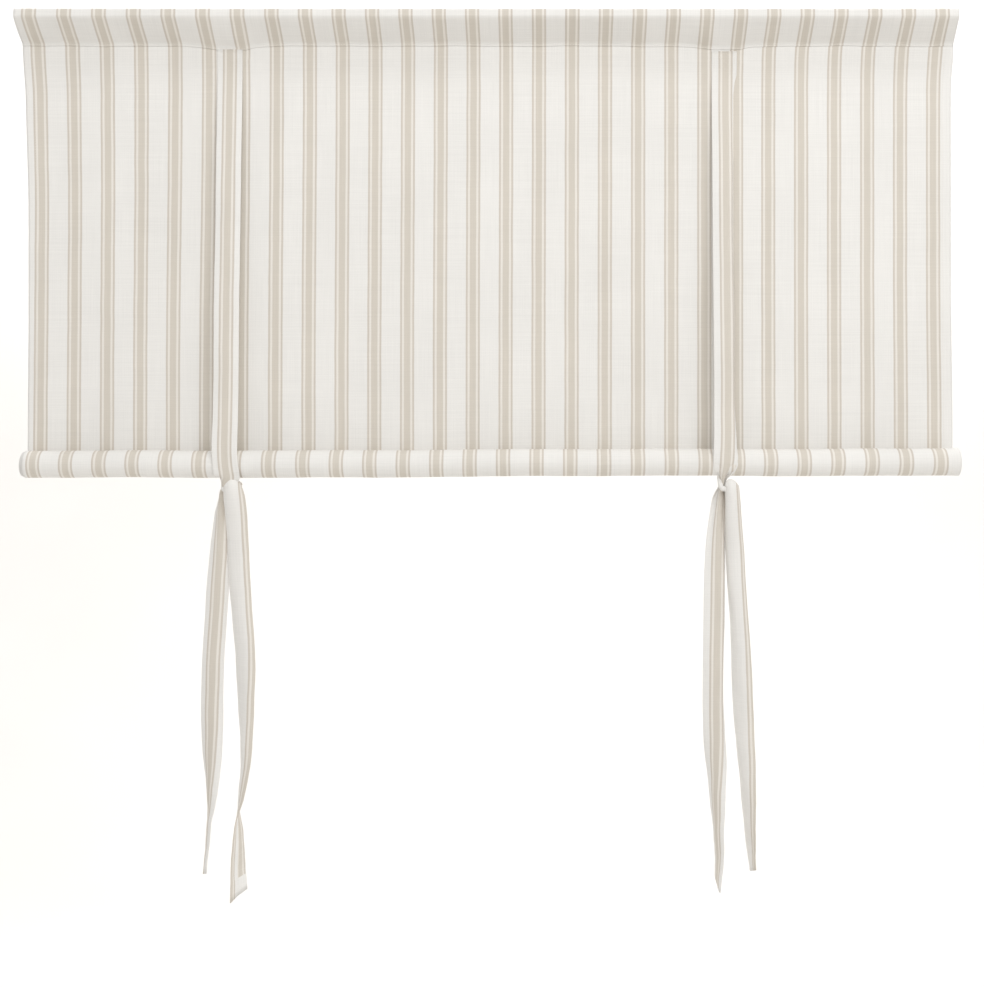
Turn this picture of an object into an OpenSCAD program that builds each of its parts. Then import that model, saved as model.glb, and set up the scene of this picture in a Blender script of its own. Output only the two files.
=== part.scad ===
// Tie-up cloth blind. A striped cloth hangs from a flat wooden lath in a sewn channel. Its lower part is
// rolled up by hand round a hem bar, and two pairs of cloth ties knotted under the roll hold it up.
// The front faces -Y and the width runs along X. The origin is the middle of the flat top of the head,
// where the lath is screwed up under a window reveal.

/* [Cloth] */
// Finished width of the cloth
cloth_w = 1200; // [800:10:1800]
// Finished drop of the whole cloth, from the top of the head to the hem
cloth_drop = 1600; // [1200:10:2200]
// Part of the drop that is let down, from the top of the head to the middle of the roll
open_drop = 580; // [450:5:900]
// Thickness of the woven cloth
cloth_t = 0.6; // [0.4:0.05:1]
// Air that lies between two turns of the roll
turn_air = 0.3; // [0:0.05:0.5]

/* [Head] */
// Height of the channel, from the top of the head to the seam
channel_h = 40; // [34:1:90]
// Width of the flat strip that is stitched down along the seam
seam_w = 4; // [2:0.5:12]
// Depth of the head lath, from front to back
lath_depth = 33; // [20:1:45]
// Height of the head lath
lath_h = 10; // [6:0.5:20]
// Radius of the long edges of the head lath
lath_edge_r = 1.5; // [0.5:0.25:3]
// Distance from each end of the lath to the side of the cloth
lath_inset = 5; // [2:1:20]

/* [Hem bar] */
// Diameter of the round bar in the middle of the roll
bar_d = 10; // [6:0.5:16]
// Distance from each end of the bar to the side of the cloth
bar_inset = 5; // [2:1:20]

/* [Ties] */
// Width of a tie
tie_w = 32.5; // [20:0.5:45]
// Thickness of a tie, a strip that is folded and sewn shut
tie_t = 1.3; // [0.8:0.1:2.5]
// Distance from the left side of the cloth to the middle of the left ties
left_tie_inset = 265; // [120:5:350]
// Distance from the right side of the cloth to the middle of the right ties
right_tie_inset = 295; // [120:5:350]
// Distance from the seam down to the top ends of the ties
tie_below_seam = 4; // [1:0.5:15]
// Length of the top end of a tie that is stitched to the cloth
stitched_l = 25; // [10:1:60]
// Whole length of the front tie on the left
front_left_l = 1082; // [1000:1:1600]
// Whole length of the back tie on the left
back_left_l = 1106; // [1000:1:1600]
// Whole length of the front tie on the right
front_right_l = 1096; // [1000:1:1600]
// Whole length of the back tie on the right
back_right_l = 1077; // [1000:1:1600]
// Radius of each half of a knot
knot_r = 8; // [6:0.5:10]
// Width of a hanging tail, a tie that curls a little across its width
tail_w = 26; // [16:1:32]
// Height over which a tail spreads out under its knot
tail_spread_h = 45; // [25:1:80]
// Distance from the middle of the knot to the inner edge of each tail
tail_in = 5; // [2:0.5:12]
// Rise of the slanted end of a tail
tail_slant = 12; // [0:1:20]

/* [Clearances] */
// Room between the cloth and the lath or the bar that it holds
cloth_gap = 0.3; // [0.1:0.05:1]
// Room between a tie and the cloth, and between the two halves of a knot
tie_gap = 0.3; // [0.1:0.05:1]

/* [Hidden] */
$fn = 64;

// Middle lines of the cloth: its back layer, its front fold and its top
back_y = lath_depth / 2 + cloth_gap + cloth_t / 2;
front_y = -back_y;
top_z = -cloth_t / 2;
fold_r = lath_edge_r + cloth_t / 2;
// Foot of the short upright face in front of the lath
front_foot_z = -(cloth_t + lath_h + cloth_gap);
// Overlap that joins two layers where they are sewn or rolled together
lap = 0.05;

// The roll: the cloth that is left winds round the bar, so its length sets the radius
rolled_l = cloth_drop - open_drop;
core_r = bar_d / 2 + cloth_gap;
roll_r = sqrt(core_r * core_r + rolled_l * (cloth_t + turn_air) / PI);
roll_y = back_y + cloth_t / 2 - roll_r;
roll_z = -open_drop;
roll_bottom_z = roll_z - roll_r;

// The ties: middle line of the strip where it follows the roll, and the heights that they share
tie_top_z = -channel_h - tie_below_seam;
tie_r = roll_r + lap + tie_gap + tie_t / 2;
front_tie_y = back_y - cloth_t / 2 - tie_gap - tie_t / 2;
back_tie_y = roll_y + tie_r;
knot_z = roll_bottom_z - lap - tie_gap - knot_r;
arc_step = 7.5;
left_x = left_tie_inset - cloth_w / 2;
right_x = cloth_w / 2 - right_tie_inset;

function unit(v) = v / norm(v);
function across(v) = [-v[1], v[0]];
// Points on a circle from one angle to another
function arc(c, r, from, to) =
    let (n = max(2, ceil(abs(to - from) / arc_step)))
    [for (i = [0 : n]) let (a = from + (to - from) * i / n) c + r * [cos(a), sin(a)]];
// Direction of a path before and after its point i, and the mitred normal there
function before(p, i) = unit(p[max(i, 1)] - p[max(i, 1) - 1]);
function after(p, i) = unit(p[min(i, len(p) - 2) + 1] - p[min(i, len(p) - 2)]);
function mitre(p, i) =
    let (n = across(unit(before(p, i) + after(p, i))))
    n / (n * across(after(p, i)));
// Outline of a strip of thickness t that follows a path
function strip(p, t) = concat(
    [for (i = [0 : len(p) - 1]) p[i] + mitre(p, i) * t / 2],
    [for (i = [len(p) - 1 : -1 : 0]) p[i] - mitre(p, i) * t / 2]);
function length_of(p, i = 1) = i >= len(p) ? 0 : norm(p[i] - p[i - 1]) + length_of(p, i + 1);

// Side view of each tie, as points of (y, z). The front one leaves the cloth and runs straight to the
// front of the roll, and the back one lies along the cloth. Both end under the roll, at the knot.
roll_middle = [roll_y, roll_z];
stitched_end = [front_tie_y, tie_top_z - stitched_l];
to_stitched = stitched_end - roll_middle;
touch_angle = atan2(to_stitched[1], to_stitched[0]) + acos(tie_r / norm(to_stitched));
front_path = concat([[front_tie_y, tie_top_z], stitched_end], arc(roll_middle, tie_r, touch_angle, 270));
back_path = concat([[back_tie_y, tie_top_z]], arc(roll_middle, tie_r, 360, 270));

// Extrudes a side view of (y, z) along the width
module along_x(l) {
    translate([-l / 2, 0, 0]) rotate([90, 0, 90]) linear_extrude(l) children();
}

// Extrudes a front view of (x, z) through a depth about the plane y
module along_y(y, l) {
    translate([0, y + l / 2, 0]) rotate([90, 0, 0]) linear_extrude(l) children();
}

// Channel round the lath, from the stitched flap up over the top and half way down the back
module channel_section() {
    flap_y = back_y - cloth_t + lap;
    polygon(strip(concat(
        [[flap_y, -channel_h], [flap_y, -channel_h + seam_w], [front_y, front_foot_z]],
        arc([front_y + fold_r, top_z - fold_r], fold_r, 180, 90),
        arc([back_y - fold_r, top_z - fold_r], fold_r, 90, 0),
        [[back_y, -channel_h / 2]]), cloth_t));
}

// Back of the channel and the cloth that hangs down to the roll
module drop_section() {
    polygon(strip([[back_y, -channel_h / 3], [back_y, roll_z]], cloth_t));
}

// The turns of the roll, round the space that holds the bar
module roll_section() {
    translate(roll_middle) difference() {
        circle(r = roll_r + lap);
        circle(r = core_r);
    }
}

module blind_cloth() {
    color([0.93, 0.91, 0.88]) {
        along_x(cloth_w) channel_section();
        along_x(cloth_w) drop_section();
        along_x(cloth_w) roll_section();
    }
}

module head_lath() {
    w = lath_depth;
    h = lath_h;
    r = lath_edge_r;
    color([0.80, 0.66, 0.47]) along_x(cloth_w - 2 * lath_inset) translate([0, -cloth_t - h / 2]) union() {
        square([w - 2 * r, h], center = true);
        square([w, h - 2 * r], center = true);
        for (y = [r - w / 2, w / 2 - r], z = [r - h / 2, h / 2 - r]) translate([y, z]) circle(r = r);
    }
}

module hem_bar() {
    l = cloth_w - 2 * bar_inset;
    color([0.78, 0.64, 0.45]) translate([-l / 2, roll_y, roll_z]) rotate([0, 90, 0]) cylinder(d = bar_d, h = l);
}

// Front view of the strip over the roll: full width, then drawn in towards one half of the knot
module drawn_in(side) {
    inner = side * tie_gap;
    outer = side * (2 * knot_r - 2);
    wide_z = roll_z - roll_r / 8;
    narrow_z = roll_bottom_z + roll_r / 8;
    low_z = knot_z - knot_r;
    polygon([[-side * tie_w / 2, 0], [side * tie_w / 2, 0], [side * tie_w / 2, wide_z], [outer, narrow_z],
             [outer, low_z], [inner, low_z], [inner, narrow_z], [-side * tie_w / 2, wide_z]]);
}

// Front view of a tail that spreads out from its half of the knot and ends on a slant
module tail_outline(side, l) {
    top_z = knot_z - knot_r / 2;
    spread_z = knot_z - tail_spread_h;
    neck = knot_r / 2;
    outer = tail_in + tail_w;
    polygon([[side * neck, top_z], [side * 3 * neck, top_z], [side * outer, spread_z],
             [side * outer, knot_z - l + tail_slant], [side * tail_in, knot_z - l], [side * tail_in, spread_z]]);
}

// One tie: the strip from the seam to the knot, its half of the knot, and its tail. side is -1 for a
// tail that hangs on the left of the knot and 1 for one on the right.
module tie(x, side, path, l) {
    tail_l = l - length_of(path) - knot_r;
    translate([x, 0, 0]) {
        intersection() {
            along_x(tie_w) polygon(strip(path, tie_t));
            along_y(0, 4 * lath_depth) drawn_in(side);
        }
        translate([side * (knot_r + tie_gap / 2), roll_y, knot_z]) sphere(r = knot_r);
        along_y(roll_y, tie_t) tail_outline(side, tail_l);
    }
}

module front_tie_left() { color([0.90, 0.88, 0.84]) tie(left_x, -1, front_path, front_left_l); }
module back_tie_left() { color([0.86, 0.84, 0.80]) tie(left_x, 1, back_path, back_left_l); }
module front_tie_right() { color([0.90, 0.88, 0.84]) tie(right_x, -1, front_path, front_right_l); }
module back_tie_right() { color([0.86, 0.84, 0.80]) tie(right_x, 1, back_path, back_right_l); }

blind_cloth();
head_lath();
hem_bar();
front_tie_left();
back_tie_left();
front_tie_right();
back_tie_right();
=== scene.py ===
import math
import bpy
import numpy as np
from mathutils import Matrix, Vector


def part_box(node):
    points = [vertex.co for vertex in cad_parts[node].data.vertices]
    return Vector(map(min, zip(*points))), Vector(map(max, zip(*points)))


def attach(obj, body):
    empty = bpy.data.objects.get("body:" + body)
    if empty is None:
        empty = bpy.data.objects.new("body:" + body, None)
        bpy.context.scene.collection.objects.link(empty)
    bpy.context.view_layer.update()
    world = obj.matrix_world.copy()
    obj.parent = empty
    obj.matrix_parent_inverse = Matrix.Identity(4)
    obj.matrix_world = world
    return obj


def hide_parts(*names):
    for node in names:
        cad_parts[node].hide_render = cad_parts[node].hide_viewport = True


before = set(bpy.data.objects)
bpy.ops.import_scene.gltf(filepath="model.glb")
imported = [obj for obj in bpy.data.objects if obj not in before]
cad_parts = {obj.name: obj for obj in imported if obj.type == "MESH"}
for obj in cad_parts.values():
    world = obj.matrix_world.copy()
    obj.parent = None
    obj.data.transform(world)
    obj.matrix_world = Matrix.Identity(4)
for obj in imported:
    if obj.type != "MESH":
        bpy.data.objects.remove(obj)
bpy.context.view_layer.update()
scene = bpy.context.scene
mm = 0.001


def boxOf(node):
    # lowest and highest corner of a node, in millimetres
    low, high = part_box(node)
    return np.array(low) / mm, np.array(high) / mm


# Places that the rest follows. Everything is in millimetres until a mesh is made.
clothLow, clothHigh = boxOf("blind_cloth")
lathLow, lathHigh = boxOf("head_lath")
barLow, barHigh = boxOf("hem_bar")
tieTop = boxOf("front_tie_left")[1][2]
halfWidth = clothHigh[0]
clothThick = clothHigh[2] - lathHigh[2]
rollY, rollZ = (barLow[1] + barHigh[1]) / 2, (barLow[2] + barHigh[2]) / 2
barRadius = (barHigh[2] - barLow[2]) / 2
rollRadius = clothHigh[1] - clothThick / 2 - rollY


def stripMiddle(node):
    # the strip's left and right edge are full width only above the roll
    points = np.array([v.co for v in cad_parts[node].data.vertices]) / mm
    strip = points[points[:, 2] > rollZ + 2 * rollRadius]
    return (strip[:, 0].min() + strip[:, 0].max()) / 2, strip[:, 0].max() - strip[:, 0].min()


leftTieX, tieWidth = stripMiddle("front_tie_left")
rightTieX = stripMiddle("front_tie_right")[0]


def soften(low, high, x):
    # 0 up to low, 1 from high on, and smooth between
    t = np.clip((x - low) / (high - low), 0, 1)
    return t * t * (3 - 2 * t)


def ripple(x, *waves):
    # a sum of sines, each one (height, length, phase)
    return sum(h * np.sin(2 * math.pi * x / l + p) for h, l, p in waves)


def bell(x, middle, spread):
    # 1 at the middle, almost 0 at twice the spread
    return np.exp(-((x - middle) / spread) ** 2)


def arc(middle, radius, start, end, steps):
    # points on part of a circle, angles in degrees
    turn = np.radians(np.linspace(start, end, steps))
    return [(middle[0] + radius * math.cos(a), middle[1] + radius * math.sin(a)) for a in turn]


def distances(points):
    # how far along a line each of its points lies
    return np.concatenate([[0], np.cumsum(np.linalg.norm(np.diff(points, axis=0), axis=1))])


def makeMesh(name, points, faces, uvs, material):
    # uvs has one row per face corner, in millimetres of cloth
    mesh = bpy.data.meshes.new(name)
    mesh.from_pydata((np.asarray(points) * mm).tolist(), [], faces)
    layer = mesh.uv_layers.new(name="cloth")
    layer.data.foreach_set("uv", (np.asarray(uvs) * mm).astype(np.float32).ravel())
    mesh.polygons.foreach_set("use_smooth", [True] * len(mesh.polygons))
    mesh.materials.append(material)
    mesh.update()
    piece = bpy.data.objects.new(name, mesh)
    scene.collection.objects.link(piece)
    return piece


def newMaterial(name):
    material = bpy.data.materials.new(name)
    material.use_nodes = True
    return material, material.node_tree, material.node_tree.nodes["Principled BSDF"]


def plug(tree, source, socket):
    if hasattr(source, "is_output"):
        tree.links.new(source, socket)
    else:
        socket.default_value = source


def fill(tree, node, values):
    for value, socket in zip(values, node.inputs):
        plug(tree, value, socket)
    return node.outputs[0]


def calc(tree, operation, *values):
    node = tree.nodes.new("ShaderNodeMath")
    node.operation = operation
    return fill(tree, node, values)


def remap(tree, value, low, high, toLow=0.0, toHigh=1.0):
    node = tree.nodes.new("ShaderNodeMapRange")
    node.interpolation_type = "SMOOTHSTEP"
    return fill(tree, node, (value, low, high, toLow, toHigh))


def blendColour(tree, factor, a, b):
    node = tree.nodes.new("ShaderNodeMix")
    node.data_type = "RGBA"
    plug(tree, factor, node.inputs[0])
    plug(tree, a, node.inputs[6])
    plug(tree, b, node.inputs[7])
    return node.outputs[2]


def scaled(tree, x, y, z=0.0):
    # three values as one vector
    return fill(tree, tree.nodes.new("ShaderNodeCombineXYZ"), (x, y, z))


def noise(tree, vector, scale=1.0, detail=3.0):
    node = tree.nodes.new("ShaderNodeTexNoise")
    plug(tree, vector, node.inputs["Vector"])
    node.inputs["Scale"].default_value = scale
    node.inputs["Detail"].default_value = detail
    return node.outputs[0]


def bump(tree, height, distance, strength):
    node = tree.nodes.new("ShaderNodeBump")
    node.inputs["Strength"].default_value = strength
    node.inputs["Distance"].default_value = distance
    plug(tree, height, node.inputs["Height"])
    return node.outputs[0]


def tint(red, green, blue):
    # a colour on the usual 0 to 255 scale, made linear
    def line(v):
        v = v / 255
        return v / 12.92 if v < 0.04045 else ((v + 0.055) / 1.055) ** 2.4
    return line(red), line(green), line(blue), 1.0


cotton = {
    "repeat": 42.86,       # from one stripe motif to the next
    "firstMotif": 18.5,    # from the left side of the blind to the middle of the first motif
    "bandHalf": 4.1,       # half of the broad band
    "lineAt": 8.0,         # from the middle of the band to each fine line
    "lineHalf": 1.2,
    "ground": tint(232, 230, 226),
    "nextToBand": tint(230, 225, 217),
    "band": tint(210, 203, 192),
    "line": tint(206, 198, 188),
    "softEdge": 0.3,       # half of the width over which a stripe fades into the ground
    "yarn": 0.55,          # from one thread to the next
    "unevenYarn": 0.12,    # how much lighter or darker one thread is than another
    "weaveShade": 0.03,    # how much the over and under of the weave shows as shade
    "weaveHeight": 0.00012,
    "roughness": 0.9,
    "sheen": 0.08,
    "specular": 0.2,
}


def stripedCotton(name, firstMotif):
    # plain weave with woven stripes: u runs across the stripes and v along them
    material, tree, shader = newMaterial(name)
    where = tree.nodes.new("ShaderNodeUVMap")
    where.uv_map = "cloth"
    split = tree.nodes.new("ShaderNodeSeparateXYZ")
    plug(tree, where.outputs[0], split.inputs[0])
    u = calc(tree, "MULTIPLY", split.outputs[0], 1000.0)
    v = calc(tree, "MULTIPLY", split.outputs[1], 1000.0)

    def threads(alongU, alongV, detail=2.0):
        stretchedUv = scaled(tree, calc(tree, "MULTIPLY", u, alongU), calc(tree, "MULTIPLY", v, alongV))
        return noise(tree, stretchedUv, 1.0, detail)

    # the stripes wander a little, and their edges are one thread wide
    wander = calc(tree, "ADD", threads(0.03, 0.02, 4.0), calc(tree, "MULTIPLY", threads(0.6, 1.3), 0.5))
    across = calc(tree, "ADD", calc(tree, "SUBTRACT", u, firstMotif + 0.75), wander)
    fromMotif = calc(tree, "PINGPONG", across, cotton["repeat"] / 2)
    soft = cotton["softEdge"]
    band = remap(tree, fromMotif, cotton["bandHalf"] - soft, cotton["bandHalf"] + soft, 1.0, 0.0)
    fromLine = calc(tree, "ABSOLUTE", calc(tree, "SUBTRACT", fromMotif, cotton["lineAt"]))
    line = remap(tree, fromLine, cotton["lineHalf"] - soft - 0.05, cotton["lineHalf"] + soft + 0.05, 1.0, 0.0)
    between = remap(tree, fromMotif, cotton["lineAt"], cotton["lineAt"] + 0.8, 1.0, 0.0)
    colour = blendColour(tree, between, cotton["ground"], cotton["nextToBand"])
    colour = blendColour(tree, line, colour, cotton["line"])
    colour = blendColour(tree, band, colour, cotton["band"])

    # single threads that run lighter or darker, and slow clouds over the whole cloth
    warp = threads(1.1, 0.012)
    weft = threads(0.01, 0.9)
    cloudy = threads(0.014, 0.01, 3.0)
    shade = calc(tree, "ADD", calc(tree, "ADD", warp, weft), calc(tree, "MULTIPLY", cloudy, 0.8))
    shade = calc(tree, "MULTIPLY_ADD", calc(tree, "SUBTRACT", shade, 1.4), cotton["unevenYarn"], 1.0)
    # over and under of the weave
    step = math.pi / cotton["yarn"]
    over = calc(tree, "MULTIPLY", calc(tree, "SINE", calc(tree, "MULTIPLY", u, step)),
                calc(tree, "SINE", calc(tree, "MULTIPLY", v, step)))
    shade = calc(tree, "MULTIPLY", shade, calc(tree, "MULTIPLY_ADD", over, cotton["weaveShade"], 0.99))
    toned = tree.nodes.new("ShaderNodeVectorMath")
    toned.operation = "SCALE"
    plug(tree, colour, toned.inputs[0])
    plug(tree, shade, toned.inputs["Scale"])
    plug(tree, toned.outputs[0], shader.inputs["Base Color"])
    plug(tree, remap(tree, cloudy, 0.3, 0.7, cotton["roughness"] - 0.06, cotton["roughness"] + 0.05),
         shader.inputs["Roughness"])
    height = calc(tree, "MULTIPLY_ADD", calc(tree, "ADD", warp, weft), 0.6, calc(tree, "MULTIPLY", over, 0.5))
    plug(tree, bump(tree, height, cotton["weaveHeight"], 0.5), shader.inputs["Normal"])
    shader.inputs["Sheen Weight"].default_value = cotton["sheen"]
    shader.inputs["Sheen Roughness"].default_value = 0.5
    shader.inputs["Specular IOR Level"].default_value = cotton["specular"]
    return material


wood = {
    "pale": tint(222, 196, 156),
    "grain": tint(186, 150, 106),
    "dark": tint(150, 112, 74),
    "grime": tint(176, 152, 122),
    "wander": 0.006,       # how far the rings stray from true circles, in metres
    "roughness": 0.62,
}


def plainWood(name, ringSize, heartY, heartZ):
    # straight grained wood, cut along X, with the heart of the tree off to one side
    material, tree, shader = newMaterial(name)
    where = tree.nodes.new("ShaderNodeTexCoord")
    split = tree.nodes.new("ShaderNodeSeparateXYZ")
    plug(tree, where.outputs["Object"], split.inputs[0])
    x, y, z = split.outputs

    def stretched(alongX, crossways, detail):
        alongGrain = calc(tree, "MULTIPLY", x, alongX)
        acrossGrain = [calc(tree, "MULTIPLY", axis, crossways) for axis in (y, z)]
        return noise(tree, scaled(tree, alongGrain, *acrossGrain), 1.0, detail)

    def squared(axis, heart):
        return calc(tree, "POWER", calc(tree, "SUBTRACT", axis, heart), 2.0)

    drift = stretched(2.2, 30.0, 3.0)
    fromHeart = calc(tree, "SQRT", calc(tree, "ADD", squared(y, heartY), squared(z, heartZ)))
    ringAt = calc(tree, "MULTIPLY_ADD", drift, wood["wander"], fromHeart)
    rings = calc(tree, "SINE", calc(tree, "MULTIPLY", ringAt, 2 * math.pi / ringSize))
    late = remap(tree, rings, 0.1, 0.95)
    fibre = stretched(18.0, 1400.0, 2.0)
    grime = stretched(9.0, 50.0, 4.0)
    colour = blendColour(tree, calc(tree, "MULTIPLY", late, 0.7), wood["pale"], wood["grain"])
    colour = blendColour(tree, remap(tree, fibre, 0.55, 0.8, 0.0, 0.45), colour, wood["dark"])
    colour = blendColour(tree, remap(tree, grime, 0.5, 0.75, 0.0, 0.25), colour, wood["grime"])
    plug(tree, colour, shader.inputs["Base Color"])
    plug(tree, remap(tree, fibre, 0.3, 0.8, wood["roughness"] - 0.1, wood["roughness"] + 0.15),
         shader.inputs["Roughness"])
    height = calc(tree, "MULTIPLY_ADD", late, 0.4, calc(tree, "MULTIPLY", fibre, 0.6))
    plug(tree, bump(tree, height, 0.0002, 0.6), shader.inputs["Normal"])
    return material


threadLook = {
    "dark": tint(214, 208, 196),
    "light": tint(240, 237, 230),
    "worn": tint(205, 197, 182),
}


def sewingCotton(name):
    material, tree, shader = newMaterial(name)
    where = tree.nodes.new("ShaderNodeTexCoord").outputs["Object"]
    ply = noise(tree, where, 2600.0, 2.0)
    worn = remap(tree, noise(tree, where, 40.0), 0.4, 0.7, 0.0, 0.3)
    colour = blendColour(tree, ply, threadLook["dark"], threadLook["light"])
    colour = blendColour(tree, worn, colour, threadLook["worn"])
    plug(tree, colour, shader.inputs["Base Color"])
    plug(tree, remap(tree, ply, 0.2, 0.8, 0.55, 0.75), shader.inputs["Roughness"])
    plug(tree, bump(tree, ply, 0.0001, 0.6), shader.inputs["Normal"])
    return material


blindCotton = stripedCotton("stripedCottonBlind", cotton["firstMotif"])
tieCotton = stripedCotton("stripedCottonTie", 0.0)
threadCotton = sewingCotton("sewingThread")
print("materials made")


blind = {
    "turnGap": 0.3,            # air between two turns of the roll
    "seamAboveTies": 5.5,      # from the tops of the ties up to the seam of the channel
    "flapBelowSeam": 3.0,
    "cornerBend": 1.8,         # radius of the cloth where it goes over the lath
    "dipDepth": 4.8,           # how far the weight of the ties pulls the seam down
    "dipSpread": 24.0,         # how far beside a tie that can be seen, on its left
    "dipSteep": 2.6,           # how many times steeper it is on the right
    "besideTie": 34.0,         # how far the ties hold the cloth flat
    "sideReach": 110.0,        # how far in from the sides the cloth is drawn sideways
    "rollTilt": 1.9,           # how much higher the roll is at its right end
    "hem": 12.0,               # width of the side hems
    "columns": 236,
    # waves, each one (height, length, phase)
    "seamWaves": ((0.35, 173, 0.4), (0.25, 71, 2.0)),
    "headWaves": ((0.35, 210, 1.0), (0.25, 88, 0.3), (0.2, 41, 2.2)),
    "slowWaves": ((0.55, 318, 0.9), (0.35, 187, 2.4), (0.2, 83, 0.2)),
    "creases": ((0.12, 61, 0.5), (0.08, 37, 1.9)),
    "rollWaves": ((0.5, 690, 0.3), (0.3, 240, 1.0)),
    "rollDents": ((0.14, 130, 0.7), (0.1, 57, 2.0)),
    "rollSlip": ((1.5, 3.3, 0.0), (0.8, 1.37, 0.0)),
    # puckers beside a tie, each one (depth, across, width, height, tall, skew)
    "puckers": ((1.5, 23, 7, -57, 3.5, 0.15), (0.8, 36, 16, -69, 4, 0.0), (1.0, -24, 8, -72, 4, -0.2)),
}


def clothProfile():
    # middle of the cloth seen from the side, as (y, z), from the edge of the flap to the bar inside the roll
    half = clothThick / 2
    backY, frontY, topZ = clothHigh[1] - half, clothLow[1] + half, clothHigh[2] - half
    flapY = backY - clothThick - 0.05
    seamZ = tieTop + blind["seamAboveTies"]
    bend = blind["cornerBend"]
    head = [(flapY, seamZ - blind["flapBelowSeam"]), (flapY, seamZ), (frontY, lathLow[2] - half)]
    head += arc((frontY + bend, topZ - bend), bend, 180, 90, 7)
    head += arc((backY - bend, topZ - bend), bend, 90, 0, 7)
    head = np.array(head + [(backY, seamZ - 30)])
    run = distances(head)
    fine = np.arange(0, run[-1], 0.4)
    head = np.stack([np.interp(fine, run, head[:, k]) for k in (0, 1)], axis=1)
    smooth = head.copy()
    for k in (0, 1):   # cloth doesn't turn a corner as sharply as the lath does
        smooth[4:-4, k] = np.convolve(head[:, k], np.ones(9) / 9, "valid")
    drop = [(backY, z) for z in np.arange(head[-1, 1] - 1, rollZ, -1.0)]
    pitch = clothThick + blind["turnGap"]
    turns = (rollRadius - barRadius - clothThick) / pitch
    swing = np.arange(0, turns * 360, 4)
    radius = rollRadius - pitch * swing / 360
    roll = [(rollY + r * math.cos(a), rollZ - r * math.sin(a)) for r, a in zip(radius, np.radians(swing))]
    line = np.array(smooth.tolist() + drop + roll)
    run = distances(line)
    firstRoll = len(smooth) + len(drop)
    return line, run, run[firstRoll], np.concatenate([np.zeros(firstRoll), swing / 360])


profile, run, rollStart, turnAt = clothProfile()
clothLength = run[-1]
slope = np.gradient(profile, run, axis=0)
slope /= np.linalg.norm(slope, axis=1)[:, None]
# along the cloth: the seam, the foot of the head's front, its top edge, and where the drop begins
seamRun = blind["flapBelowSeam"]
footRun = run[np.argmin(np.hypot(profile[:200, 0] - clothLow[1], profile[:200, 1] - lathLow[2]))]
topRun = run[np.argmax(profile[:, 1] > clothHigh[2] - clothThick / 2 - 0.05)]
backRun = topRun + clothHigh[1] - clothLow[1] + 4


def besideTies(u):
    return bell(u, leftTieX, blind["besideTie"]) + bell(u, rightTieX, blind["besideTie"])


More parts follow.
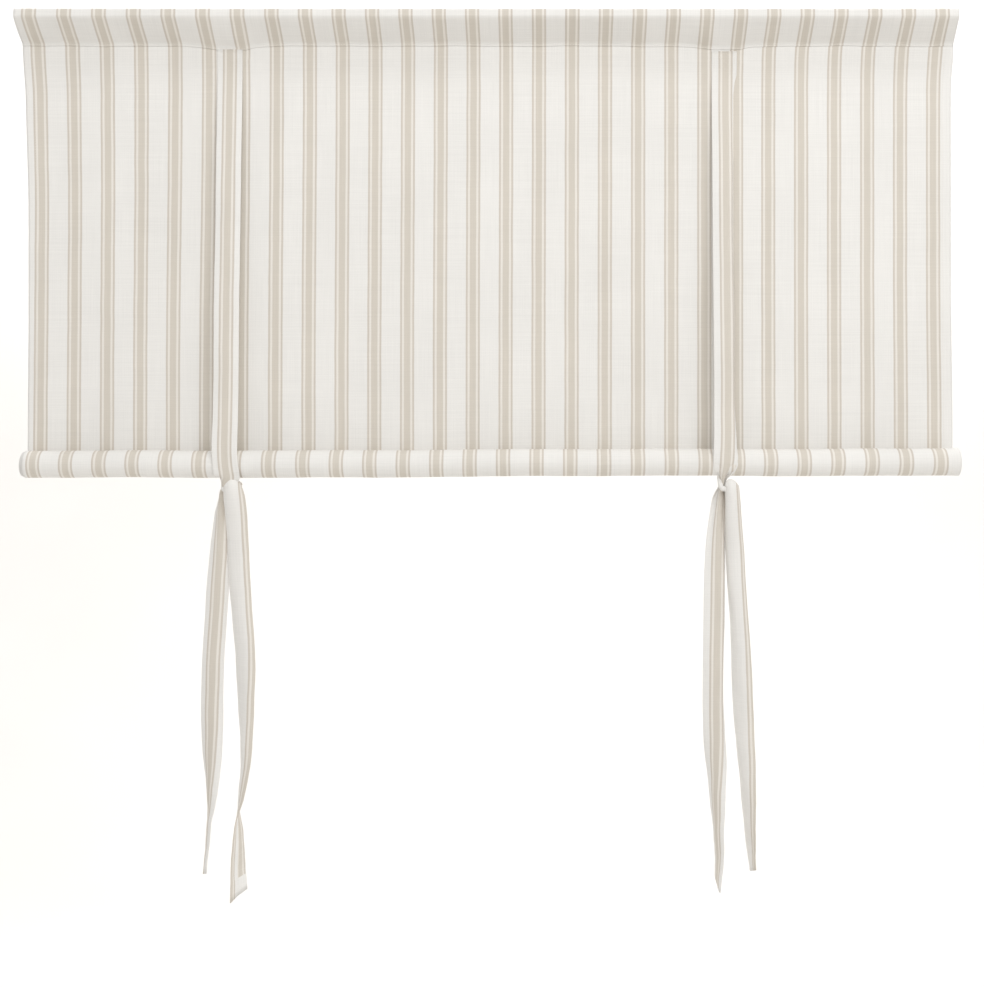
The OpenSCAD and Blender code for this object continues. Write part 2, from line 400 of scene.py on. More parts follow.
def clothPoint(u, s, lift=0.0):
    # where a point of the cloth hangs: u from the middle towards the right, s along the cloth from the flap,
    # lift out of the surface that shows
    u, s = np.broadcast_arrays(np.asarray(u, float), np.asarray(s, float))
    y, z = np.interp(s, run, profile[:, 0]), np.interp(s, run, profile[:, 1])
    ty, tz = np.interp(s, run, slope[:, 0]), np.interp(s, run, slope[:, 1])
    turn = np.interp(s, run, turnAt)
    x = u.copy()
    out = np.full(x.shape, float(lift))
    left = np.exp(-(u + halfWidth) / blind["sideReach"])
    right = np.exp((u - halfWidth) / blind["sideReach"])
    nearTies = np.clip(besideTies(u), 0, 1)

    # the sides spread at the seam and draw in below it
    x += left * (-4.2 * bell(z, -38, 48) + 3.2 * soften(-110, -260, z) - 1.0 * soften(-380, -560, z))
    x += right * (3.2 * bell(z, -46, 30) + 2.2 * soften(-330, -560, z))

    # the seam sags towards the ties, and the front of the channel with it
    onSlant = np.where(s < footRun, 1 - (s - seamRun).clip(0) / (footRun - seamRun), 0.0)
    dip = ripple(u, *blind["seamWaves"]) - 0.8
    for tieX in (leftTieX, rightTieX):   # as low as the tie is wide, steep on its right side
        beside = np.sqrt((np.abs(u - tieX - 3) - 18).clip(0) ** 2 + 4) - 2
        spread = np.where(u > tieX, blind["dipSpread"] / blind["dipSteep"], blind["dipSpread"])
        dip += blind["dipDepth"] * np.exp(-beside / spread)
    z = z - dip * onSlant
    slant = np.sin(math.pi * ((s - seamRun) / (footRun - seamRun)).clip(0, 1))
    out += slant * (0.5 + ripple(u, *blind["headWaves"]))
    bulges = bell(u, leftTieX + 6, 16) + bell(u, rightTieX - 30, 14) + bell(u, rightTieX + 30, 18)
    out += slant * 1.2 * bulges

    # slow waves in the cloth that hangs, and faint creases across it where it was rolled up before
    below = soften(-48, -130, z) * (s > backRun) * (turn <= 0)
    flatter = 1 - 0.75 * soften(-380, -570, z)
    wave = ripple(u + 0.06 * z, *blind["slowWaves"])
    crease = ripple(z + 0.02 * u, *blind["creases"]) * (1 + 0.6 * np.sin(u / 97.0))
    out += below * (1 - nearTies) * (wave * flatter + crease)

    # small puckers where the ties are sewn on
    sewn = (s > backRun) * (turn <= 0)
    for tieX, pull in ((leftTieX, 1.0), (rightTieX, 0.7)):
        beside = (np.abs(u - tieX) > tieWidth / 2 - 1).astype(float)
        for depth, across, width, height, tall, skew in blind["puckers"]:
            dent = bell(u, tieX + across, width) * bell(z + skew * (u - tieX), height, tall)
            out -= sewn * pull * depth * dent * beside

    # the roll: higher on the right, not quite even, its turns slipped sideways against each other
    outer = soften(0, 1, 1 - turn / turnAt[-1])
    towardsRoll = np.where(turn > 0, outer, soften(-250, rollZ, z))
    tilt = blind["rollTilt"] * u / halfWidth + ripple(u, *blind["rollWaves"])
    z = z + tilt * towardsRoll
    rolled = (turn > 0) * outer * soften(0, 0.2, turn)
    out += rolled * (ripple(u + 90 * turn, *blind["rollDents"])
                     + 0.12 * np.sin(2 * math.pi * turn * 2 + u / 130.0))
    slip = ripple(turn, *blind["rollSlip"]) * soften(0, 0.15, turn)
    x += (turn > 0) * (slip * (left + right) + 3.4 * left * soften(0, 0.4, turn))

    y = y - tz * out
    z = z + ty * out
    return np.stack([x, y, z], axis=-1)


def stripeDrift(u, s):
    # the stripes don't lie at even distances across the blind
    z, turn = np.interp(s, run, profile[:, 1]), np.interp(s, run, turnAt)
    hanging = s > backRun
    down = soften(-40, -480, z) * hanging
    drift = 7.2 * np.clip((u + halfWidth) / 320, 0, 1)
    drift = drift - 3.0 * soften(-260, 120, u) + 0.3 * soften(130, 230, u)
    drift -= soften(-20, -60, z) * hanging * 2.0 * soften(285, 355, u) + 1.0 * soften(290, 420, u)
    drift -= (1.2 - 1.0 * soften(290, 420, u)) * soften(380, 560, u)
    drift -= down * (2.2 * (1 - soften(-340, 330, u)) + 2.2 * bell(u, leftTieX - 40, 70))
    return drift - 2.2 * soften(0, 0.3, turn)


def clothColumns(count):
    # closer together beside the ties and at the sides, where the cloth is pulled about
    u = np.linspace(-halfWidth, halfWidth, 4001)
    crowd = 1 + 2.6 * besideTies(u) + 1.5 * (bell(u, u[0], 20) + bell(u, u[-1], 20))
    total = np.concatenate([[0], np.cumsum((crowd[1:] + crowd[:-1]) / 2)])
    return np.interp(np.linspace(0, total[-1], count), total, u)


def makeBlindCloth():
    # rows close together at the head and the puckers, then as far as the roll, then once round it
    fineEnd = backRun + 75
    rollTurn = 2 * math.pi * rollRadius
    rows = np.concatenate([
        np.linspace(0, seamRun, 3)[:-1], np.linspace(seamRun, footRun, 12)[:-1],
        np.linspace(footRun, topRun, 10)[:-1], np.linspace(topRun, backRun, 12)[:-1],
        np.linspace(backRun, fineEnd, 30)[:-1], np.linspace(fineEnd, rollStart, 44)[:-1],
        np.linspace(rollStart, rollStart + 1.12 * rollTurn, 46)])
    # the turns inside, closer together towards the bar
    inner = rows[-1] + (clothLength - rows[-1]) * (1 - (1 - np.linspace(0, 1, 330)[1:]) ** 1.25)
    columns = clothColumns(blind["columns"])
    picks = np.unique(np.linspace(0, len(columns) - 1, 14).astype(int))
    points = clothPoint(columns[None, :], rows[:, None]).reshape(-1, 3)
    points = np.concatenate([points, clothPoint(columns[picks][None, :], inner[:, None]).reshape(-1, 3)])
    uvs = []
    for across, along in ((columns, rows), (columns[picks], inner)):
        u, s = np.broadcast_arrays(across[None, :], along[:, None])
        uvs.append(np.stack([u + halfWidth - stripeDrift(u, s), s], axis=-1).reshape(-1, 2))
    uvs = np.concatenate(uvs)
    across, few, first = len(columns), len(picks), len(rows) * len(columns)
    faces = []
    for r in range(len(rows) - 1):
        a = r * across
        faces += [(a + c, a + c + 1, a + c + 1 + across, a + c + across) for c in range(across - 1)]
    last = (len(rows) - 1) * across
    for k in range(few - 1):   # from the close columns to the wide ones, out of sight inside the roll
        faces.append(tuple(range(last + picks[k], last + picks[k + 1] + 1)) + (first + k + 1, first + k))
    for r in range(len(inner) - 1):
        a = first + r * few
        faces += [(a + k, a + k + 1, a + k + 1 + few, a + k + few) for k in range(few - 1)]
    faces = [tuple(int(v) for v in f) for f in faces]
    corners = np.array([v for f in faces for v in f])
    cloth = makeMesh("blindCloth", points, faces, uvs[corners], blindCotton)
    solid = cloth.modifiers.new("thickness", "SOLIDIFY")
    solid.thickness = clothThick * mm
    solid.offset = 0
    return cloth


blindCloth = makeBlindCloth()
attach(blindCloth, "root")
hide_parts("blind_cloth")
print("blind cloth made,", round(clothLength), "mm long and", round(turnAt[-1], 1), "turns in the roll")


ties = {
    "thick": 1.3,
    "slant": 12.0,      # how far one corner of the end is cut back
    "pressed": 0.45,    # how much smaller the bunched cloth gets inside a knot
    "hem": 30.0,        # the end is turned over to the back and sewn down
    "hemThick": 0.25,   # how much thicker the tie is there
    "seamDepth": 0.45,  # how deep the seam on the back is, in half thicknesses
    "uneven": 0.10,     # slow changes in how much the tie curls
    "wrinkles": ((0.25, 53), (0.12, 21)),   # height and length
    "rings": 250,
}


def facing(turn, tilt):
    # which way the face of a tie looks: 0 is to the front, 90 to the right, and tilt looks up
    a, e = math.radians(turn), math.radians(tilt)
    return np.array([math.sin(a) * math.cos(e), -math.cos(a) * math.cos(e), math.sin(e)])


def throughPoints(run, values, at):
    # a smooth curve through the values, one at each distance in run
    values = np.asarray(values, float)
    gaps = np.diff(run)
    steps = np.diff(values, axis=0) / gaps[:, None]
    slopes = np.empty_like(values)
    weighed = steps[:-1] * gaps[1:, None] + steps[1:] * gaps[:-1, None]
    slopes[1:-1] = weighed / (gaps[1:] + gaps[:-1])[:, None]
    slopes[0], slopes[-1] = steps[0], steps[-1]
    k = np.clip(np.searchsorted(run, at, side="right") - 1, 0, len(run) - 2)
    h = gaps[k][:, None]
    t = ((at - run[k]) / gaps[k])[:, None]
    return ((2 * t ** 3 - 3 * t ** 2 + 1) * values[k] + (t ** 3 - 2 * t ** 2 + t) * h * slopes[k]
            + (3 * t ** 2 - 2 * t ** 3) * values[k + 1] + (t ** 3 - t ** 2) * h * slopes[k + 1])


def makeTie(tie, middleX):
    # follows the route through its knot and gives the strip, its length, front points, rings and columns
    route, phase = tie["route"], tie["phase"]
    stops = np.array([r[:3] for r in route], float) + (middleX, 0, 0)
    run = distances(stops)
    dense = np.arange(0, run[-1], 0.5)
    middle = throughPoints(run, stops, dense)
    along = np.gradient(middle, axis=0)
    along /= np.linalg.norm(along, axis=1)[:, None]
    looks = np.array([facing(r[3], r[4]) for r in route])
    face = np.stack([np.interp(dense, run, looks[:, k]) for k in range(3)], axis=1)
    face -= along * (face * along).sum(axis=1)[:, None]
    face /= np.linalg.norm(face, axis=1)[:, None]
    side = np.cross(face, along)
    length = distances(middle)
    bends = np.stack([np.interp(dense, run, [r[k] for r in route]) for k in (5, 6, 7)], axis=1)
    bends[:, :2] = np.radians(bends[:, :2])

    # rings close together in the knot and far apart where the tie hangs straight
    knot = soften(rollZ + 40, rollZ - 5, middle[:, 2]) * soften(-760, -640, middle[:, 2])
    crowd = np.concatenate([[0], np.cumsum(1 + 4.5 * knot[1:])])
    rings = np.interp(np.linspace(0, crowd[-1], ties["rings"]), crowd, length)
    rings[0], rings[-1] = 0, length[-1]
    half = tieWidth / 2
    s = np.concatenate([[-half, 0.25 - half, 0.7 - half], np.linspace(1.6 - half, half - 1.6, 23),
                        [half - 0.7, half - 0.25, half]])
    centre = len(s) // 2
    cut = ties["slant"] * (0.5 - tie["slantSide"] * s / tieWidth)
    v = rings[:, None] - cut[None, :] * soften(length[-1] - 50, length[-1], rings)[:, None]

    def at(table):
        return np.stack([np.interp(v, length, table[:, k]) for k in range(table.shape[1])], axis=-1)

    def fromCentre(steps):
        total = np.concatenate([np.zeros((len(rings), 1)), np.cumsum(steps, axis=1)], axis=1)
        return total - total[:, [centre]]

    # how much the strip leans at each point across it, and where that puts the point
    curl, hook, gather = at(bends)[:, centre].T
    lean = (curl[:, None] * s / half + hook[:, None] * soften(0.1, 1.0, s / half)
            + gather[:, None] * np.sin(2 * math.pi * tie["pleats"] * s / tieWidth + phase))
    uneven = ties["uneven"] * np.sin(rings / 31 + phase) * soften(60, 160, rings)
    lean += uneven[:, None] * np.sin(math.pi * s / half)
    between = (lean[:, 1:] + lean[:, :-1]) / 2
    pressed = 1 - ties["pressed"] * np.maximum(soften(1.3, 2.1, gather), soften(1.9, 2.5, curl))[:, None]
    flat = fromCentre(np.cos(between) * np.diff(s)) * pressed
    deep = fromCentre(-np.sin(between) * np.diff(s)) * pressed
    free = soften(30, 120, rings)[:, None] * pressed ** 3
    waves = [(h, l, phase * (k + 1)) for k, (h, l) in enumerate(ties["wrinkles"])]
    deep = deep + free * ripple(rings[:, None] + 0.9 * s, *waves)
    where, out, wide = at(middle), at(face), at(side)
    skin = where + wide * flat[..., None] + out * deep[..., None]
    normal = wide * np.sin(lean)[..., None] + out * np.cos(lean)[..., None]
    # round edges, and thicker where the end is turned over
    rim = (np.abs(s) - half) / (ties["thick"] / 2) + 1
    edge = np.sqrt(1 - rim.clip(0, 1) ** 2)
    hemmed = 1 + ties["hemThick"] * soften(-ties["hem"] - 1, -ties["hem"] + 1, rings - length[-1])
    thick = (ties["thick"] / 2 * edge[None, :] * hemmed[:, None])[..., None]
    front = skin + normal * thick
    back = skin - normal * thick * (1 - ties["seamDepth"] * bell(s, 0, 0.8))[None, :, None]
    count, across = len(rings), len(s)
    points = np.concatenate([front.reshape(-1, 3), back.reshape(-1, 3)])
    behind = count * across

    def backIndex(r, c):   # the two sides share their edge points
        return r * across + c if c in (0, across - 1) else behind + r * across + c

    faces, uvs = [], []
    for r in range(count - 1):
        for c in range(across - 1):
            a, b = r * across + c, (r + 1) * across + c
            faces.append((a, b, b + 1, a + 1))
            uvs += [(s[c], v[r, c]), (s[c], v[r + 1, c])]
            uvs += [(s[c + 1], v[r + 1, c + 1]), (s[c + 1], v[r, c + 1])]
            faces.append((backIndex(r, c), backIndex(r, c + 1), backIndex(r + 1, c + 1), backIndex(r + 1, c)))
            # the back is the cloth folded round both edges, but the hem shows the front's cloth again
            hand = -1 if s[c] + s[c + 1] < 0 else 1
            here, beyond = hand * (tieWidth - abs(s[c])), hand * (tieWidth - abs(s[c + 1]))
            if rings[r] > length[-1] - ties["hem"]:
                here, beyond = s[c], s[c + 1]
            uvs += [(here, v[r, c]), (beyond, v[r, c + 1])]
            uvs += [(beyond, v[r + 1, c + 1]), (here, v[r + 1, c])]
    for r, order in ((0, 1), (count - 1, -1)):   # close both ends
        for c in range(across - 1):
            quad = [r * across + c, r * across + c + 1, backIndex(r, c + 1), backIndex(r, c)]
            quad = [q for i, q in enumerate(quad) if q not in quad[:i]]
            faces.append(tuple(quad[::order]))
            uvs += [(s[c], v[r, c])] * len(quad)
    uvs = np.array(uvs) - (tie["motif"], 0)
    used = np.unique([q for f in faces for q in f])
    number = np.full(len(points), -1)
    number[used] = np.arange(len(used))
    faces = [tuple(int(number[q]) for q in f) for f in faces]
    strip = makeMesh(tie["name"], points[used], faces, uvs, tieCotton)
    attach(strip, "root")
    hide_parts(tie["node"])
    print(tie["name"], "made,", round(length[-1]), "mm long")
    return strip, length[-1], front, rings, s


# Each tie: where a stripe motif lies across it, a phase for its small waves, the corner of its end that is
# cut back, the pleats where it is gathered, and a route through its knot. Each stop of a route says across,
# y, z, turn, tilt, then in degrees how much it curls and how much its right edge hooks, then the gather.
frontLeftTie = {
    "name": "frontTieLeft",
    "node": "front_tie_left",
    "motif": 0.0,
    "phase": 0.4,
    "slantSide": -1,
    "pleats": 1.5,
    "route": [
        (0, 15.9, -45.0, 0, 0, 0, 0, 0),
        (0, 15.9, -69, 0, 0, 0, 0, 0),
        (0, 12.8, -120, 0, 0, 4, 0, 0),
        (0, -0.6, -310, 0, 0, 8, 8, 0),
        (1, -15.4, -520, 0, 0, 8, 4, 0),
        (1.4, -19.6, -572, 0, 0, 4, 0, 0),
        (2.4, -20.2, -583, 0, 0, 6, 0, 0.1),
        (3.4, -19.6, -592, 0, -8, 10, 0, 0.1),
        (3.6, -18.7, -598, 0, -12, 30, 0, 0.2),
        (1.6, -17.4, -603, -5, -15, 76, 0, 0.2),
        (-0.6, -15.2, -607.5, -12, -20, 118, 0, 0.3),
        (-3.0, -9.0, -612.5, -15, 0, 142, 0, 0.4),
        (-5.2, -3.8, -617, -12, 0, 120, 0, 0.5),
        (-6.3, -3.5, -628, -10, 0, 85, 0, 0.5),
        (-7, -4, -645, -8, 0, 60, 10, 0.4),
        (-8, -4, -680, -5, 0, 42, 30, 0.2),
        (-11, -4, -732, -5, 0, 34, 48, 0.1),
        (-14, -4, -783, -8, 0, 30, 56, 0),
        (-17.5, -4, -835, -6, 0, 24, 50, 0),
        (-19, -4, -886, -8, 0, 24, 50, 0),
        (-20, -4, -937, -24, 0, 24, 50, 0),
        (-21.5, -4, -977, -46, 0, 22, 50, 0),
        (-23, -4, -1011, -63, 0, 15, 30, 0),
        (-24, -4, -1035, -73, 0, 10, 10, 0),
        (-26, -4, -1065, -76, 0, 10, 10, 0),
        (-28, -4, -1091, -75, 0, 10, 10, 0),
        (-29, -4, -1113, -73, 0, 10, 10, 0),
    ],
}
backLeftTie = {
    "name": "backTieLeft",
    "node": "back_tie_left",
    "motif": 16.0,
    "phase": 1.1,
    "slantSide": 1,
    "pleats": 2.5,
    "route": [
        (0, 18.5, -44, 180, 0, 0, 0, 0),
        (0, 18.5, -69, 180, 0, 0, 0, 0),
        (0, 19.3, -200, 180, 0, 0, 0, 0),
        (-1, 19.3, -420, 180, 0, 0, 0, 0),
        (0, 18.9, -560, 180, 0, 0, 0, 0),
        (0, 18.7, -580, 180, -4, 0, 0, 0),
        (0, 16.2, -589.8, 180, -30, 0, 0, 0.3),
        (0, 9.2, -596.8, 180, -60, 60, 0, 0.4),
        (-1, 2.0, -600.3, 180, -75, 130, 0, 0),
        (-3.6, -3.5, -604.5, 225, -50, 165, 0, 0),
        (-5.0, -8.0, -608.4, 285, -20, 165, 0, 0),
        (-4.0, -12.0, -611.2, 335, 0, 165, 0, 0),
        (-0.5, -13.8, -612.8, 368, 10, 165, 0, 0),
        (4.0, -12.0, -611.0, 395, 30, 165, 0, 0),
        (7.2, -9.5, -606.5, 400, 50, 150, 0, 0),
        (8.8, -9.0, -601.8, 385, 72, 110, 0, 0.2),
        (10.4, -13.5, -598.9, 375, 60, 90, 0, 0.1),
        (11.2, -18.5, -602.8, 374, 20, 86, 0, 0.1),
        (11.9, -20.6, -611.0, 372, 2, 76, 0, 0),
        (12.9, -19.2, -626, 366, 0, 60, 0, 0),
        (13.8, -15.0, -650, 357, 0, 55, 10, 0),
        (14.5, -10.5, -681, 350, 0, 50, 25, 0),
        (16.5, -7, -732, 350, 0, 36, 42, 0),
        (19.2, -5, -783, 345, 0, 32, 45, 0),
        (22, -4, -835, 333, 0, 30, 45, 0),
        (21.8, -4, -886, 318, 0, 30, 45, 0),
        (20.8, -4, -937, 306, 0, 28, 35, 0),
        (19, -4, -977, 295, 0, 20, 25, 0),
        (15.8, -4, -1011, 287, 0, 12, 10, 0),
        (14.2, -4, -1032, 277, 0, 6, 0, 0),
        (14.9, -4, -1054, 260, 0, 8, 0, 0),
        (14.6, -4.5, -1075, 254, 0, 12, 0, 0),
        (14.4, -5.5, -1096, 249, 0, 14, 0, 0),
        (15.2, -8.5, -1116, 244, 0, 14, 0, 0),
        (16.6, -13, -1138, 240, 0, 10, 0, 0),
    ],
}
frontRightTie = {
    "name": "frontTieRight",
    "node": "front_tie_right",
    "motif": 1.5,
    "phase": 0.2,
    "slantSide": 1,
    "pleats": 1.5,
    "route": [
        (1, 15.9, -47.4, 0, 0, 0, 0, 0),
        (1, 15.9, -69, 0, 0, 0, 0, 0),
        (0.5, 13.0, -110, 0, 0, 4, 60, 0),
        (0.5, 9.0, -160, -4, 0, 4, 100, 0),
        (0.5, -0.6, -310, -4, 0, 4, 105, 0),
        (0.5, -14.0, -500, -4, 0, 4, 100, 0),
        (-0.5, -19.0, -560, -2, 0, 4, 60, 0),
        (-1.5, -19.8, -580, 0, -5, 0, 20, 0.4),
        (-2.8, -17.0, -592.5, 0, -30, 0, 0, 1.1),
        (-3.6, -13.0, -600, 0, -30, 0, 0, 1.7),
        (-4.2, -10.5, -607, 5, -10, 0, 0, 1.98),
        (-4.5, -6.0, -612.5, 8, 0, 0, 0, 1.9),
        (-5.2, -3.5, -619, 0, 0, 0, 0, 1.6),
        (-6.2, -3.5, -630, -5, 0, 20, 10, 1.2),
        (-7.6, -4, -645, -8, 0, 25, 40, 0.9),
        (-9.8, -4, -681, -6, 0, 20, 70, 0.4),
        (-11.2, -4, -732, -4, 0, 14, 80, 0.1),
        (-12, -4, -783, -4, 0, 12, 80, 0),
        (-12.7, -4, -835, -4, 0, 12, 80, 0),
        (-13.2, -4, -886, -6, 0, 12, 80, 0),
        (-12.8, -4, -934, -18, 0, 16, 80, 0),
        (-13, -4, -977, -52, 0, 16, 70, 0),
        (-13.4, -4, -1011, -66, 0, 12, 50, 0),
        (-12.2, -4, -1050, -75, 0, 10, 20, 0),
        (-10.3, -4, -1091, -80, 0, 10, 10, 0),
        (-10.8, -4, -1125, -88, 0, 10, 0, 0),
    ],
}
backRightTie = {
    "name": "backTieRight",
    "node": "back_tie_right",
    "motif": 17.0,
    "phase": 0.9,
    "slantSide": -1,
    "pleats": 2.5,
    "route": [
        (0, 18.5, -44, 180, 0, 0, 0, 0),
        (0, 18.5, -69, 180, 0, 0, 0, 0),
        (0, 19.3, -200, 180, 0, 0, 0, 0),
        (1, 19.3, -420, 180, 0, 0, 0, 0),
        (0, 18.9, -560, 180, 0, 0, 0, 0),
        (0, 18.7, -580, 180, -4, 0, 0, 0),
        (-1, 16.2, -589.8, 180, -30, 0, 0, 0.3),
        (-3, 9.2, -596.8, 180, -60, 60, 0, 0.4),
        (-6, 2.0, -599.0, 185, -70, 130, 0, 0),
        (-9, -4.0, -600.8, 240, -50, 160, 0, 0),
        (-10, -9.5, -603.6, 320, -20, 165, 0, 0),
        (-8.2, -12.8, -607.4, 345, -5, 165, 0, 0),
        (-5, -14.0, -611.0, 365, 0, 165, 0, 0),
        (-1, -12.5, -611.5, 390, 20, 165, 0, 0),
        (2.5, -9.5, -607.0, 400, 45, 160, 0, 0),
        (4.2, -8.5, -603.0, 380, 70, 140, 0, 0),
        (4.8, -12.0, -600.2, 350, 60, 118, 0, 0.1),
        (4.5, -16.0, -604.0, 342, 20, 108, 0, 0),
        (4.5, -17.5, -612, 338, 2, 103, 0, 0),
        (5.4, -16.5, -628, 337, 0, 101, 0, 0),
        (7.2, -13, -656, 340, 0, 96, 0, 0),
        (9.6, -9, -681, 345, 0, 90, 0, 0),
        (12.2, -7, -732, 344, 0, 80, 0, 0),
        (15.5, -5, -783, 337, 0, 66, 10, 0),
        (18.2, -4, -835, 330, 0, 52, 20, 0),
        (20.2, -4, -886, 323, 0, 44, 30, 0),
        (22.2, -4, -937, 314, 0, 38, 30, 0),
        (24.4, -4, -980, 302, 0, 25, 25, 0),
        (26.6, -4, -1015, 294, 0, 20, 15, 0),
        (29.6, -4, -1050, 286, 0, 15, 10, 0),
        (32.6, -4, -1085, 279, 0, 12, 5, 0),
        (35, -4, -1109, 275, 0, 10, 0, 0),
    ],
}

madeTies = [makeTie(frontLeftTie, leftTieX), makeTie(backLeftTie, leftTieX),
            makeTie(frontRightTie, rightTieX), makeTie(backRightTie, rightTieX)]


sewing = {
    "stitch": 2.6,      # length of one stitch
    "gap": 0.9,
    "thread": 0.32,     # thickness of the thread
    "sunk": 0.06,       # how far it is pulled into the cloth
    "sides": 6,
    # along a stitch, and how thick it is there
    "shape": ((0.0, 0.0), (0.12, 0.7), (0.5, 1.0), (0.88, 0.7), (1.0, 0.0)),
    "boxHalf": 13,      # the crossed box that holds the top of a tie: half its width, start and end
    "boxStart": 3,
    "boxEnd": 23,
}


def stitchRow(points, normals):
    # capsules laid end to end along a line of points
    run = distances(points)
    starts = np.arange(0.5, run[-1] - sewing["stitch"], sewing["stitch"] + sewing["gap"])
    shape, sides = sewing["shape"], sewing["sides"]
    made, faces = [], []

    def at(distance, table):
        return np.array([np.interp(distance, run, table[:, k]) for k in range(3)])

    for start in starts:
        begin, up = at(start, points), at(start, normals)
        along = at(start + sewing["stitch"], points) - begin
        side = np.cross(up, along / np.linalg.norm(along))
        first = len(made)
        for t, size in shape:
            middle = begin + along * t + up * (sewing["thread"] * 0.45 * size - sewing["sunk"])
            radius = sewing["thread"] / 2 * max(size, 0.2)
            for k in range(sides):
                a = 2 * math.pi * k / sides
                made.append(middle + (side * math.cos(a) + up * math.sin(a)) * radius)
        for ring in range(len(shape) - 1):
            for k in range(sides):
                a, b = first + ring * sides + k, first + ring * sides + (k + 1) % sides
                faces.append((a, b, b + sides, a + sides))
    return made, faces


def joinRows(name, rows):
    points, faces = [], []
    for made, some in rows:
        faces += [tuple(i + len(points) for i in f) for f in some]
        points += made
    thread = makeMesh(name, np.array(points), faces, np.zeros((sum(len(f) for f in faces), 2)), threadCotton)
    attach(thread, "root")
    return thread


def rowOnCloth(u, s, out):
    # a line of stitches on the cloth, out is 1 on the face of the flap and -1 on the other side
    base = clothPoint(u, s, out * clothThick / 2)
    normal = clothPoint(u, s, out * (clothThick / 2 + 1)) - base
    return stitchRow(base, normal / np.linalg.norm(normal, axis=1)[:, None])


# the channel seam in front and behind, and the side hems on both sides of the cloth
seamU = np.linspace(-halfWidth + 3, halfWidth - 3, 500)
backSeam = run[np.argmin(np.abs(profile[:, 1] - profile[3, 1]) + 1000 * (run < backRun))]
hemU = halfWidth - blind["hem"] + 1
hemS = np.linspace(backRun + 45, rollStart + 50, 300)
clothRows = [rowOnCloth(seamU, np.full(seamU.shape, s), 1) for s in (seamRun - 1.0, backSeam)]
clothRows += [rowOnCloth(np.full(hemS.shape, u), hemS, out) for u in (-hemU, hemU) for out in (1, -1)]
clothThread = joinRows("clothThread", clothRows)


def rowOnTie(made, path):
    # path is a list of (across, along) on the front of the tie, in millimetres
    front, rings, s = made[2:]
    points = []
    for (a0, b0), (a1, b1) in zip(path[:-1], path[1:]):
        for t in np.linspace(0, 1, 12)[:-1]:
            a, b = a0 + (a1 - a0) * t, b0 + (b1 - b0) * t
            ring = [[np.interp(b, rings, front[:, c, k]) for c in range(len(s))] for k in range(3)]
            points.append([np.interp(a, s, axis) for axis in ring])
    points = np.array(points)
    facingOut = np.zeros_like(points)
    facingOut[:, 1] = -1 if points[:, 1].mean() < 17 else 1
    return stitchRow(points, facingOut)


wide, low, high = sewing["boxHalf"], sewing["boxStart"], sewing["boxEnd"]
box = [(-wide, low), (wide, low), (wide, high), (-wide, high), (-wide, low), (wide, high)]
for made, name in zip(madeTies, ("frontLeft", "backLeft", "frontRight", "backRight")):
    rows = [rowOnTie(made, [p, q]) for p, q in zip(box[:-1], box[1:])]
    thread = joinRows(name + "Thread", rows)
print("stitching made")


lathWood = plainWood("lathPine", 0.0032, -0.011, 0.034)
barWood = plainWood("barBeech", 0.0017, 0.02, rollZ * mm - 0.03)
for node, finish in (("head_lath", lathWood), ("hem_bar", barWood)):
    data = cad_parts[node]
    if not data.material_slots:
        data.data.materials.append(finish)
    for slot in data.material_slots:
        slot.material = finish
print("wood finished")


studio = {
    "floorZ": -2.05,
    "wallY": 3.4,
    "sweep": 1.2,          # radius of the curve between floor and wall
    "frontY": -4.5,
    "topZ": 3.5,
    "side": 6,             # half of the width
    "paper": tint(241, 239, 236),
    "mottle": tint(238, 236, 233),
    "sky": 0.69,
    "skyColour": (1.0, 0.988, 0.972, 1.0),
    # lights: place, what it looks at, size, power, colour
    "lights": {
        "keyLight": ((0.75, -2.5, 0.95), (0.3, 0, -0.35), (2.6, 1.6), 34.0, (0.98, 0.99, 1.0)),
        "topLight": ((0.45, -1.1, 2.2), (0.2, 0, -0.5), (1.4, 0.5), 13.0, (0.98, 0.99, 1.0)),
        "wallLight": ((0, 0.9, 1.9), (0, 3.4, -0.9), (5.0, 0.8), 95.0, (0.97, 0.985, 1.0)),
    },
}


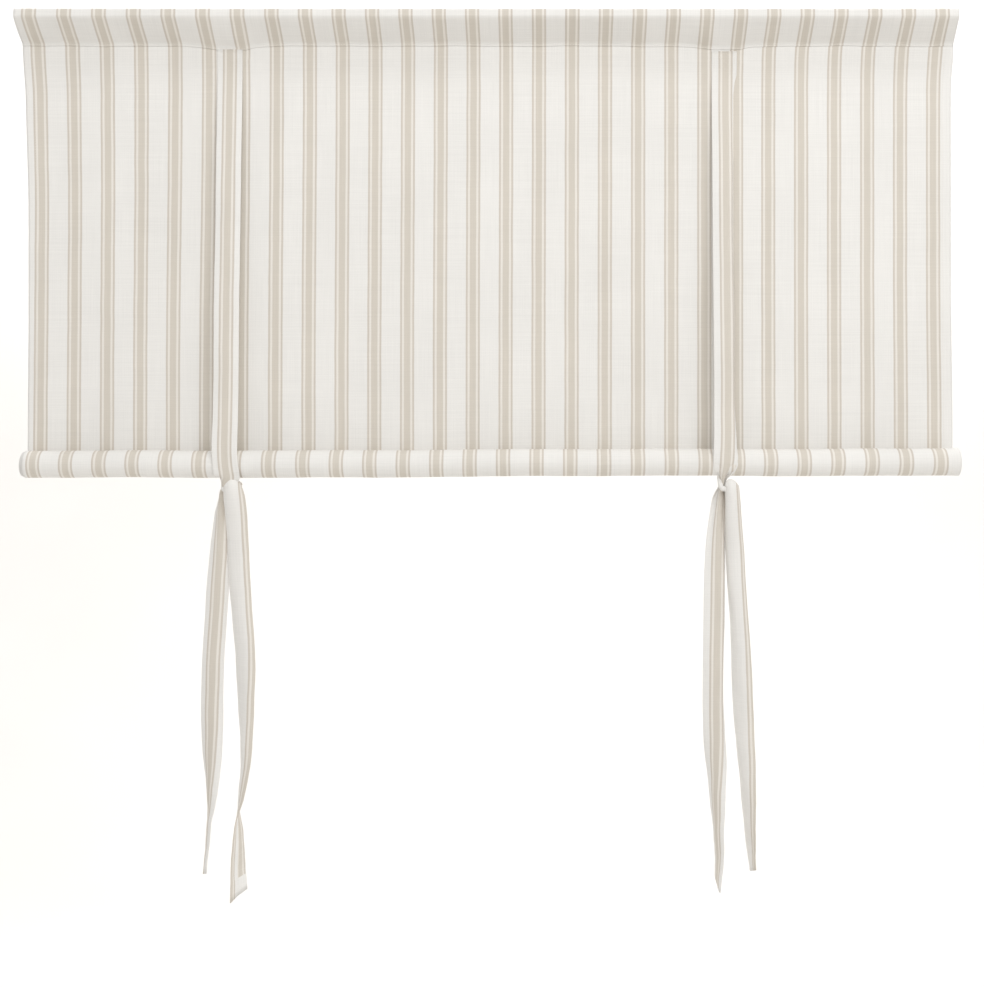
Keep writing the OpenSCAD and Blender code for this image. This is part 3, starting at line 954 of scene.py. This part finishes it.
def makeStudio():
    line = [(studio["frontY"], studio["floorZ"])]
    middle = (studio["wallY"] - studio["sweep"], studio["floorZ"] + studio["sweep"])
    line += arc(middle, studio["sweep"], -90, 0, 25)
    line.append((studio["wallY"], studio["topZ"]))
    points = [(x / mm, y / mm, z / mm) for y, z in line for x in (-studio["side"], studio["side"])]
    faces = [(2 * k, 2 * k + 1, 2 * k + 3, 2 * k + 2) for k in range(len(line) - 1)]
    material, tree, shader = newMaterial("studioPaper")
    where = tree.nodes.new("ShaderNodeTexCoord").outputs["Object"]
    cloudy = remap(tree, noise(tree, where, 1.4, 2.0), 0.3, 0.7)
    plug(tree, blendColour(tree, cloudy, studio["paper"], studio["mottle"]), shader.inputs["Base Color"])
    plug(tree, bump(tree, noise(tree, where, 900.0), 0.0002, 0.1), shader.inputs["Normal"])
    shader.inputs["Roughness"].default_value = 0.9
    paper = makeMesh("studioFloor", points, faces, np.zeros((4 * len(faces), 2)), material)


def areaLight(name, place, target, size, power, colour):
    light = bpy.data.lights.new(name, "AREA")
    light.shape = "RECTANGLE"
    light.size, light.size_y = size
    light.energy = power
    light.color = colour
    lamp = bpy.data.objects.new(name, light)
    lamp.location = place
    lamp.rotation_euler = (Vector(target) - Vector(place)).to_track_quat("-Z", "Y").to_euler()
    lamp.visible_camera = False
    scene.collection.objects.link(lamp)


makeStudio()
for name, settings in studio["lights"].items():
    areaLight(name, *settings)
world = bpy.data.worlds.new("studioAir")
scene.world = world
world.use_nodes = True
world.node_tree.nodes["Background"].inputs[0].default_value = studio["skyColour"]
world.node_tree.nodes["Background"].inputs[1].default_value = studio["sky"]
scene.view_settings.view_transform = "Standard"

view = {
    "place": (0.080, -1.755, -0.4544),
    "lens": 49.8,
    "sensor": 36,
    "shift": (-0.0588, -0.13),
}
camera = bpy.data.cameras.new("camera")
camera.lens = view["lens"]
camera.sensor_width = view["sensor"]
camera.shift_x, camera.shift_y = view["shift"]
cameraPiece = bpy.data.objects.new("camera", camera)
cameraPiece.location = view["place"]
cameraPiece.rotation_euler = (math.pi / 2, 0, 0)
scene.collection.objects.link(cameraPiece)
scene.camera = cameraPiece
print("studio ready")
